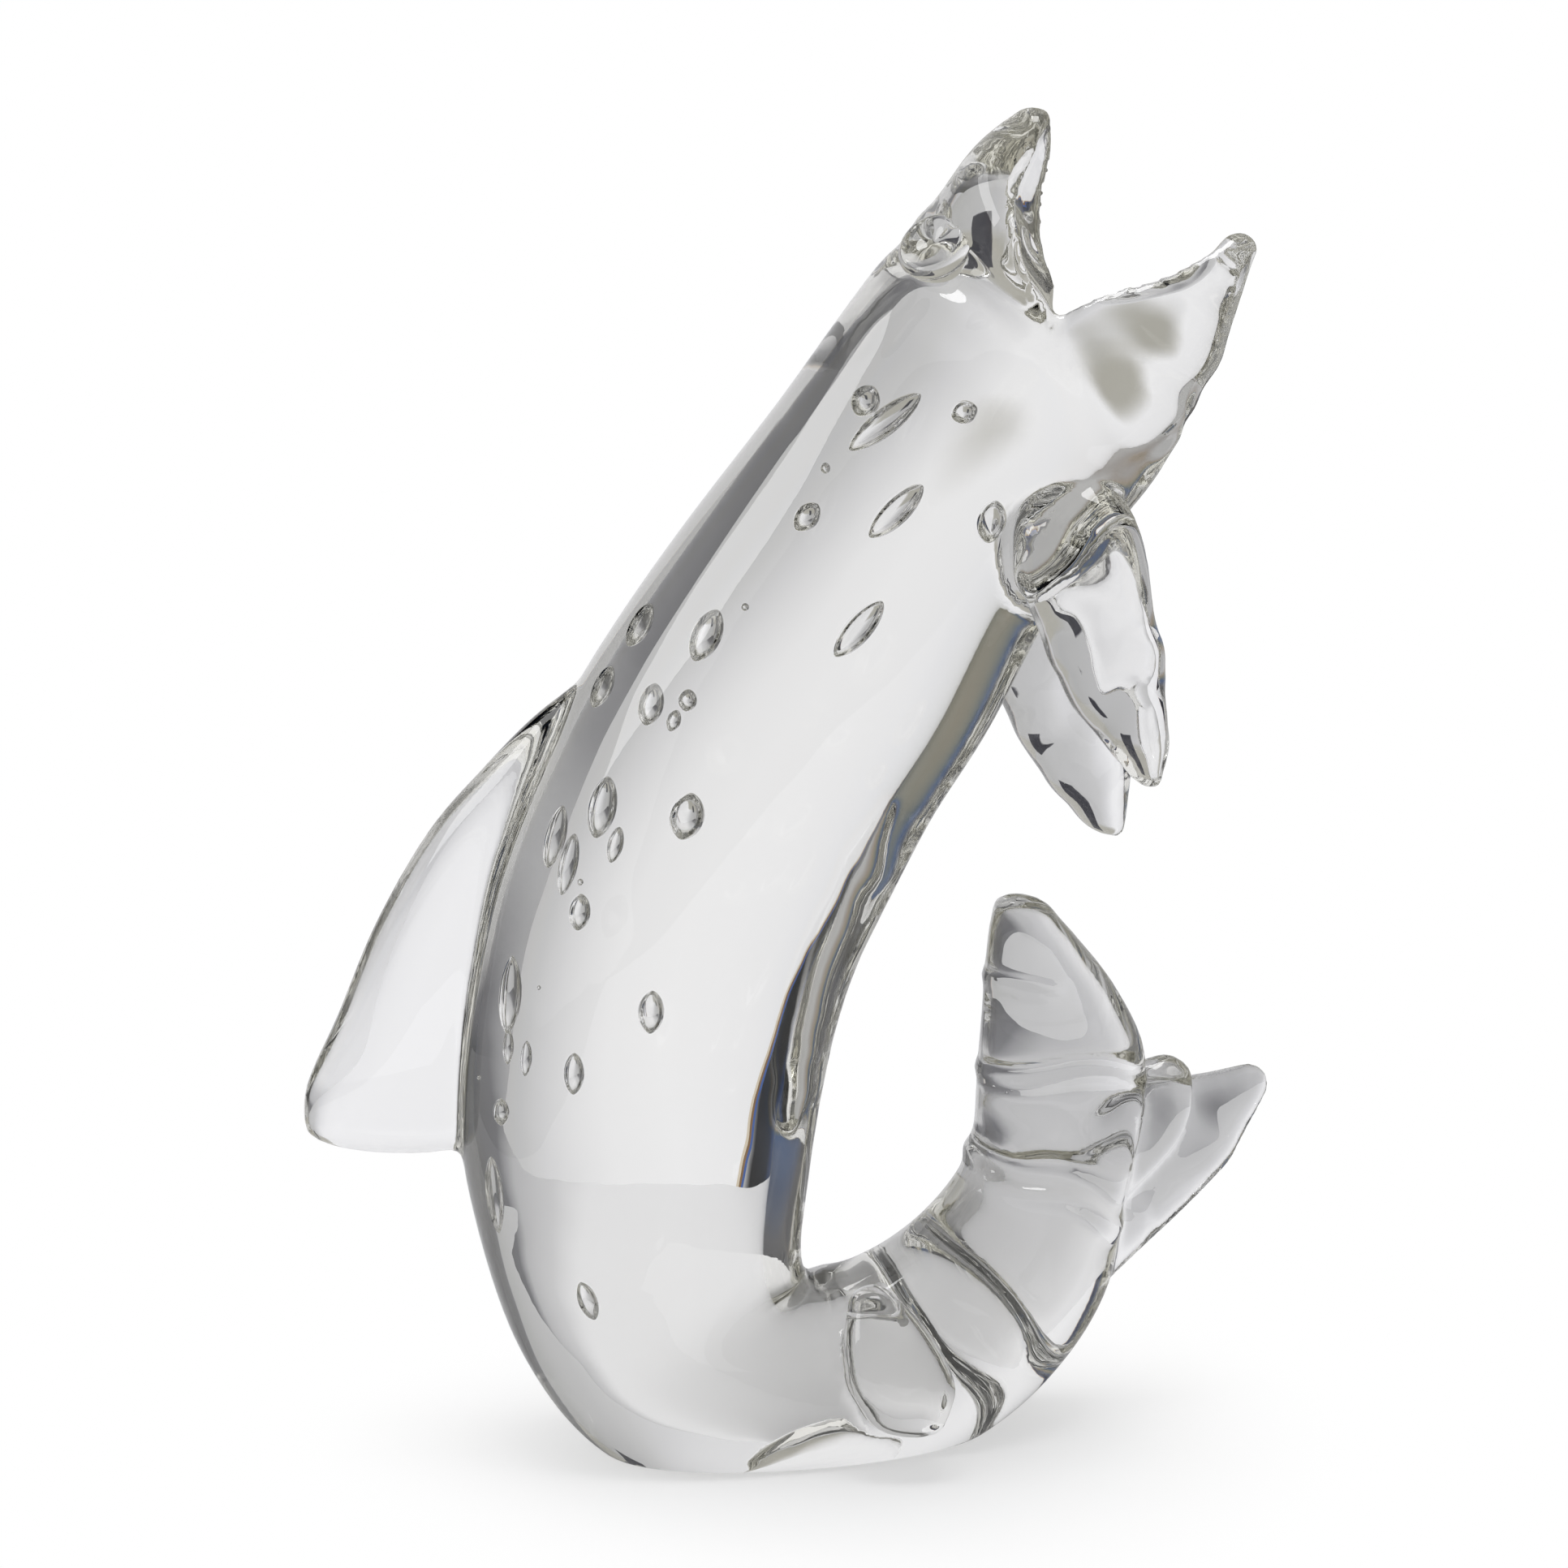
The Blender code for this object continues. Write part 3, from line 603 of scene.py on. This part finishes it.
def fold(mesh):
    """Raise a wavy ridge across the tail at each fold, and fade it out at both of its ends."""
    for x, y, z, tilt, half_length, height, half_width, waves in FOLDS:
        along = Vector((math.cos(math.radians(tilt)), 0.0, math.sin(math.radians(tilt))))
        upward = Vector((-along.z, 0.0, along.x))
        for corner in mesh.verts:
            offset = corner.co / MM - Vector((x, y, z))
            if offset.length > FOLD_REACH * half_length:
                continue
            run = offset.dot(along)
            rise = offset.dot(upward) - waves * math.sin(2 * math.pi * run / FOLD_WAVE_LENGTH)
            share = max(0.0, 1 - (run / (FOLD_FADE * half_length)) ** 2)
            corner.co += corner.normal * height * MM * share * math.exp(-(rise / half_width) ** 2)


def camera_axes():
    """Where the camera stands, and its forward, right and up directions."""
    tilt = math.radians(CAMERA_ELEVATION)
    back = Vector((0.0, -math.cos(tilt), math.sin(tilt)))
    forward = -back
    right = forward.cross(Vector((0, 0, 1))).normalized()
    return Vector(CAMERA_TARGET) + back * CAMERA_DISTANCE, forward, right, right.cross(forward)


def picture_ray(x, y):
    """The sight line through a place in the picture."""
    eye, forward, right, up = camera_axes()
    focal = IMAGE_SIZE * CAMERA_LENS / SENSOR_WIDTH
    ray = forward + right * ((x - IMAGE_SIZE / 2) / focal) - up * ((y - IMAGE_SIZE / 2) / focal)
    return eye, ray.normalized()


def bend(ray, normal, ratio):
    """Refract a sight line at the skin."""
    cosine = -ray.dot(normal)
    rest = 1 - ratio ** 2 * (1 - cosine ** 2)
    return (ray * ratio + normal * (ratio * cosine - math.sqrt(max(rest, 0.0)))).normalized()


def bubble(mesh, centre, half_length, half_width, half_depth):
    """An almond of air: its faces look inward, away from the glass."""
    rings = []
    for i in range(1, BUBBLE_RINGS):
        turn = math.pi * i / BUBBLE_RINGS
        girth = math.sin(turn) ** BUBBLE_POINTEDNESS
        along = centre - half_length * math.cos(turn)
        ring_verts = []
        for k in range(BUBBLE_SEGMENTS):
            round_turn = 2 * math.pi * k / BUBBLE_SEGMENTS
            side = half_width * math.cos(round_turn) + half_depth * math.sin(round_turn)
            ring_verts.append(mesh.verts.new(along + side * girth))
        rings.append(ring_verts)
    tips = [mesh.verts.new(centre - half_length), mesh.verts.new(centre + half_length)]
    for near, far in zip(rings, rings[1:]):
        for k in range(BUBBLE_SEGMENTS):
            after = (k + 1) % BUBBLE_SEGMENTS
            mesh.faces.new((near[k], far[k], far[after], near[after]))
    for k in range(BUBBLE_SEGMENTS):
        after = (k + 1) % BUBBLE_SEGMENTS
        mesh.faces.new((tips[0], rings[0][k], rings[0][after]))
        mesh.faces.new((tips[1], rings[-1][after], rings[-1][k]))


def place_inside(tree, x, y, depth):
    """The place in the glass that the picture shows at x, y, a depth in from the skin."""
    start, ray = picture_ray(x, y)
    place, normal, _, _ = tree.ray_cast(start, ray)
    if place is None:
        return None, None
    inner = bend(ray, normal, 1 / GLASS_IOR)
    return place + inner * depth * MM, inner


def add_bubbles(trout):
    """Blow the bubbles into the skin's mesh, each where the picture shows it."""
    mesh = bmesh.new()
    mesh.from_mesh(trout.data)
    tree = BVHTree.FromBMesh(mesh)
    for x, y, length, width, lean, depth in BUBBLES:
        turn = math.radians(lean)
        along = Vector((math.sin(turn), -math.cos(turn)))
        beside = Vector((math.cos(turn), math.sin(turn)))
        centre, inner = place_inside(tree, x, y, depth)
        halves = []
        for step, size in ((along, length), (beside, width)):
            ends = []
            for sign in (-1, 1):
                reach = sign * size / 2
                spot, _ = place_inside(tree, x + reach * step.x, y + reach * step.y, depth)
                ends.append(spot or centre)
            half = (ends[1] - ends[0]) / 2
            halves.append(half - inner * half.dot(inner))
        half_length, half_width = halves
        half_depth = half_length.cross(half_width).normalized()
        half_depth *= min(half_width.length, BUBBLE_ROOM * depth * MM)
        bubble(mesh, centre, half_length, half_width, half_depth)
    mesh.to_mesh(trout.data)
    mesh.free()


def clear_glass():
    """Clear crystal with a faint grey cast."""
    material = bpy.data.materials.new("clear_glass")
    material.use_nodes = True
    shader = material.node_tree.nodes["Principled BSDF"]
    shader.inputs["Base Color"].default_value = (*GLASS_SURFACE, 1)
    shader.inputs["Roughness"].default_value = 0.0
    shader.inputs["IOR"].default_value = GLASS_IOR
    shader.inputs["Transmission Weight"].default_value = 1.0
    body = material.node_tree.nodes.new("ShaderNodeVolumeAbsorption")
    body.inputs["Color"].default_value = (*GLASS_BODY, 1)
    body.inputs["Density"].default_value = GLASS_DENSITY
    material.node_tree.links.new(body.outputs["Volume"],
                                 material.node_tree.nodes["Material Output"].inputs["Volume"])
    return material


def camera_share(nodes, links, seen, unseen):
    """A shader that differs for the camera's own sight lines."""
    path = nodes.new("ShaderNodeLightPath")
    mix = nodes.new("ShaderNodeMixShader")
    links.new(path.outputs["Is Camera Ray"], mix.inputs["Fac"])
    links.new(unseen, mix.inputs[1])
    links.new(seen, mix.inputs[2])
    return mix.outputs["Shader"]


def plane(name, left, right, front, back, level):
    """A level rectangle."""
    mesh = bmesh.new()
    corners = ((left, front), (right, front), (right, back), (left, back))
    mesh.faces.new([mesh.verts.new((x, y, level)) for x, y in corners])
    return new_object(name, mesh)


def glow_node(nodes, colour):
    """White or coloured light of strength 1."""
    glow = nodes.new("ShaderNodeEmission")
    glow.inputs["Color"].default_value = (*colour, 1)
    return glow.outputs["Emission"]


def paper_table():
    """White paper under the sculpture, fading into the white sweep away from it; the glass sees a
    copy darkened with painted shade.
    """
    table = plane("paper_table", -TABLE_SIDE, TABLE_SIDE, -TABLE_FRONT, TABLE_BACK, FLOOR_LEVEL)
    table.rotation_euler.z = math.radians(TABLE_TURN)
    material = bpy.data.materials.new("white_paper")
    material.use_nodes = True
    nodes, links = material.node_tree.nodes, material.node_tree.links
    paper = nodes["Principled BSDF"]
    paper.inputs["Base Color"].default_value = (PAPER_TONE, PAPER_TONE, PAPER_TONE, 1.0)
    paper.inputs["Roughness"].default_value = PAPER_ROUGHNESS
    paper.inputs["Specular IOR Level"].default_value = 0.0
    place = nodes.new("ShaderNodeTexCoord")
    length = nodes.new("ShaderNodeVectorMath")
    length.operation = 'LENGTH'
    reach = nodes.new("ShaderNodeMapRange")
    reach.interpolation_type = 'SMOOTHSTEP'
    reach.inputs["From Min"].default_value = SHADOW_REACH
    reach.inputs["From Max"].default_value = SHADOW_END
    links.new(place.outputs["Object"], length.inputs[0])
    links.new(length.outputs["Value"], reach.inputs["Value"])
    thinned = nodes.new("ShaderNodeMapRange")
    thinned.inputs["To Min"].default_value = 1 - SHADOW_SHARE
    links.new(reach.outputs["Result"], thinned.inputs["Value"])
    faded = nodes.new("ShaderNodeMixShader")
    links.new(thinned.outputs["Result"], faded.inputs["Fac"])
    links.new(paper.outputs["BSDF"], faded.inputs[1])
    links.new(glow_node(nodes, (1, 1, 1)), faded.inputs[2])
    # The glass sees this shaded copy of the paper: its colour is painted shade, darker toward the
    # right, and the lamps light it too.
    shaded_paper_copy = nodes.new("ShaderNodeBsdfDiffuse")
    across = nodes.new("ShaderNodeSeparateXYZ")
    links.new(place.outputs["Object"], across.inputs["Vector"])
    along = nodes.new("ShaderNodeMapRange")
    along.inputs["From Min"].default_value = -TABLE_SIDE
    along.inputs["From Max"].default_value = TABLE_SIDE
    links.new(across.outputs["X"], along.inputs["Value"])
    tones = tone_ramp(nodes, PAINTED_PAPER_SHADE_IN_GLASS, -TABLE_SIDE, TABLE_SIDE)
    links.new(along.outputs["Result"], tones.inputs["Fac"])
    links.new(tones.outputs["Color"], shaded_paper_copy.inputs["Color"])
    shader = camera_share(nodes, links, faded.outputs["Shader"], shaded_paper_copy.outputs["BSDF"])
    links.new(shader, nodes["Material Output"].inputs["Surface"])
    table.data.materials.append(material)


def tone_ramp(nodes, tones, start, end):
    """A colour ramp whose stops are given as places between a start and an end."""
    ramp = nodes.new("ShaderNodeValToRGB")
    stops = ramp.color_ramp
    for index, (place, colour) in enumerate(tones):
        place = (place - start) / (end - start)
        stop = stops.elements[index] if index < 2 else stops.elements.new(place)
        stop.position = place
        stop.color = (*colour, 1)
    return ramp


def card_plane(name, left, right, low=CARD_LOW, high=CARD_HIGH, leans=(0.0, 0.0), back=CARD_BACK):
    """An upright sheet behind the table, turned along with it; its sides can lean."""
    mesh = bmesh.new()
    corners = ((left + leans[0] * low, low), (right + leans[1] * low, low),
               (right + leans[1] * high, high), (left + leans[0] * high, high))
    mesh.faces.new([mesh.verts.new((x, back, z)) for x, z in corners])
    card = new_object(name, mesh)
    card.rotation_euler.z = math.radians(TABLE_TURN)
    material = bpy.data.materials.new(name)
    material.use_nodes = True
    card.data.materials.append(material)
    return material.node_tree.nodes, material.node_tree.links


def show_in_glass(nodes, links, glow):
    """Let a card glow for every sight line but the camera's own."""
    clear = nodes.new("ShaderNodeBsdfTransparent")
    links.new(camera_share(nodes, links, clear.outputs["BSDF"], glow),
              nodes["Material Output"].inputs["Surface"])


def faded_edges(nodes, links, left, low, fade, glow):
    """A card's glow, faded out toward its left and low edges."""
    place = nodes.new("ShaderNodeTexCoord")
    split = nodes.new("ShaderNodeSeparateXYZ")
    links.new(place.outputs["Object"], split.inputs["Vector"])
    clear = nodes.new("ShaderNodeBsdfTransparent")
    for axis, start in (("X", left), ("Z", low)):
        rise = nodes.new("ShaderNodeMapRange")
        rise.interpolation_type = 'SMOOTHSTEP'
        rise.inputs["From Min"].default_value = start
        rise.inputs["From Max"].default_value = start + fade
        links.new(split.outputs[axis], rise.inputs["Value"])
        mix = nodes.new("ShaderNodeMixShader")
        links.new(rise.outputs["Result"], mix.inputs["Fac"])
        links.new(clear.outputs["BSDF"], mix.inputs[1])
        links.new(glow, mix.inputs[2])
        glow = mix.outputs["Shader"]
    return glow


def graded_card():
    """The backdrop that the glass shows: pale behind the body and grey to the right of it."""
    nodes, links = card_plane("graded_card", CARD_LEFT, CARD_RIGHT, leans=(CARD_LEAN, 0.0))
    place = nodes.new("ShaderNodeTexCoord")
    split = nodes.new("ShaderNodeSeparateXYZ")
    links.new(place.outputs["Object"], split.inputs["Vector"])
    measures = []
    for low, high in (BAND_MIDDLE, BAND_WIDTH):
        measure = nodes.new("ShaderNodeMapRange")
        measure.inputs["From Max"].default_value = CARD_TOP_LEVEL
        measure.inputs["To Min"].default_value = low
        measure.inputs["To Max"].default_value = high
        links.new(split.outputs["Z"], measure.inputs["Value"])
        measures.append(measure.outputs["Result"])
    offset = nodes.new("ShaderNodeMath")
    offset.operation = 'SUBTRACT'
    links.new(split.outputs["X"], offset.inputs[0])
    links.new(measures[0], offset.inputs[1])
    share = nodes.new("ShaderNodeMath")
    share.operation = 'DIVIDE'
    links.new(offset.outputs["Value"], share.inputs[0])
    links.new(measures[1], share.inputs[1])
    start, end = CARD_TONES[0][0], CARD_TONES[-1][0]
    along = nodes.new("ShaderNodeMapRange")
    along.inputs["From Min"].default_value = start
    along.inputs["From Max"].default_value = end
    links.new(share.outputs["Value"], along.inputs["Value"])
    ramp = tone_ramp(nodes, CARD_TONES, start, end)
    links.new(along.outputs["Result"], ramp.inputs["Fac"])
    glow = nodes.new("ShaderNodeEmission")
    links.new(ramp.outputs["Color"], glow.inputs["Color"])
    show_in_glass(nodes, links, glow.outputs["Emission"])
    for step, colour in enumerate(EDGE_TONES):
        right = CARD_LEFT - step * EDGE_STRIP
        nodes, links = card_plane("edge_strip", right - EDGE_STRIP, right, leans=(CARD_LEAN,) * 2)
        show_in_glass(nodes, links, glow_node(nodes, colour))
    for step, (name, left, right, low, high, fade, colour) in enumerate(SMALL_CARDS):
        back = CARD_BACK - (step + 1) * CARD_GAP
        nodes, links = card_plane(name, left, right, low, high, back=back)
        glow = faded_edges(nodes, links, left, low, fade, glow_node(nodes, colour))
        show_in_glass(nodes, links, glow)


def white_sweep():
    """The white that the camera sees round the table; light passes it freely."""
    sweep = plane("white_sweep", -SWEEP_SIDE, SWEEP_SIDE, -SWEEP_SIDE, SWEEP_SIDE,
                  FLOOR_LEVEL - SWEEP_DROP)
    material = bpy.data.materials.new("white_sweep")
    material.use_nodes = True
    nodes, links = material.node_tree.nodes, material.node_tree.links
    clear = nodes.new("ShaderNodeBsdfTransparent")
    shader = camera_share(nodes, links, glow_node(nodes, (1, 1, 1)), clear.outputs["BSDF"])
    links.new(shader, nodes["Material Output"].inputs["Surface"])
    sweep.data.materials.append(material)


def studio_world():
    """White behind everything the camera sees, and a soft room with dark cards round the glass."""
    world = bpy.data.worlds.new("studio")
    bpy.context.scene.world = world
    world.use_nodes = True
    nodes, links = world.node_tree.nodes, world.node_tree.links
    nodes.clear()
    out = nodes.new("ShaderNodeOutputWorld")
    white = nodes.new("ShaderNodeBackground")
    room = nodes.new("ShaderNodeBackground")
    white.inputs["Color"].default_value = (1, 1, 1, 1)
    direction = nodes.new("ShaderNodeTexCoord")
    split = nodes.new("ShaderNodeSeparateXYZ")
    links.new(direction.outputs["Generated"], split.inputs["Vector"])
    bearing = nodes.new("ShaderNodeMath")
    bearing.operation = 'ARCTAN2'
    links.new(split.outputs["X"], bearing.inputs[0])
    links.new(split.outputs["Y"], bearing.inputs[1])
    degrees = nodes.new("ShaderNodeMapRange")
    degrees.inputs["From Min"].default_value = -math.pi
    degrees.inputs["From Max"].default_value = math.pi
    links.new(bearing.outputs["Value"], degrees.inputs["Value"])
    walls = tone_ramp(nodes, ROOM_WALLS, -180, 180)
    links.new(degrees.outputs["Result"], walls.inputs["Fac"])
    rise = nodes.new("ShaderNodeMapRange")
    rise.interpolation_type = 'SMOOTHSTEP'
    rise.inputs["From Min"].default_value = CEILING_START
    rise.inputs["From Max"].default_value = CEILING_FULL
    links.new(split.outputs["Z"], rise.inputs["Value"])
    lid = nodes.new("ShaderNodeMix")
    lid.data_type = 'RGBA'
    links.new(rise.outputs["Result"], lid.inputs["Factor"])
    links.new(walls.outputs["Color"], lid.inputs["A"])
    lid.inputs["B"].default_value = (*CEILING_TONE, 1)
    links.new(lid.outputs["Result"], room.inputs["Color"])
    links.new(camera_share(nodes, links, white.outputs["Background"], room.outputs["Background"]),
              out.inputs["Surface"])


def softbox(name, place, aim, along, length, width, power):
    """A soft rectangular lamp whose long side runs along a direction; no lens shows it."""
    lamp = bpy.data.lights.new(name, 'AREA')
    lamp.shape = 'RECTANGLE'
    lamp.size = length
    lamp.size_y = width
    lamp.energy = power
    item = bpy.data.objects.new(name, lamp)
    back = (Vector(place) - Vector(aim)).normalized()
    side = (Vector(along) - back * back.dot(Vector(along))).normalized()
    turn = Matrix((side, back.cross(side), back)).transposed().to_4x4()
    item.matrix_world = Matrix.Translation(place) @ turn
    item.visible_transmission = False
    bpy.context.scene.collection.objects.link(item)


def photo_camera():
    """The photograph's point of view."""
    eye, forward, _, _ = camera_axes()
    lens = bpy.data.cameras.new("photo_camera")
    lens.lens = CAMERA_LENS
    lens.sensor_width = SENSOR_WIDTH
    item = bpy.data.objects.new("photo_camera", lens)
    item.location = eye
    item.rotation_euler = forward.to_track_quat('-Z', 'Y').to_euler()
    bpy.context.scene.collection.objects.link(item)
    bpy.context.scene.camera = item


def build():
    """Dress the frame and light it."""
    photo_camera()
    trout = trout_skin()
    add_bubbles(trout)
    trout.data.materials.clear()
    trout.data.materials.append(clear_glass())
    trout.data.shade_smooth()
    trout.data.set_sharp_from_angle(angle=math.radians(SHARP_ANGLE))
    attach(trout, "root")
    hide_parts("glass_trout")
    paper_table()
    graded_card()
    white_sweep()
    studio_world()
    for lamp in LAMPS:
        softbox(*lamp)
    scene = bpy.context.scene
    scene.view_settings.view_transform = 'Standard'
    scene.cycles.max_bounces = LIGHT_BOUNCES
    scene.cycles.transmission_bounces = LIGHT_BOUNCES
    scene.cycles.glossy_bounces = GLOSSY_BOUNCES
    scene.cycles.use_denoising = True


build()
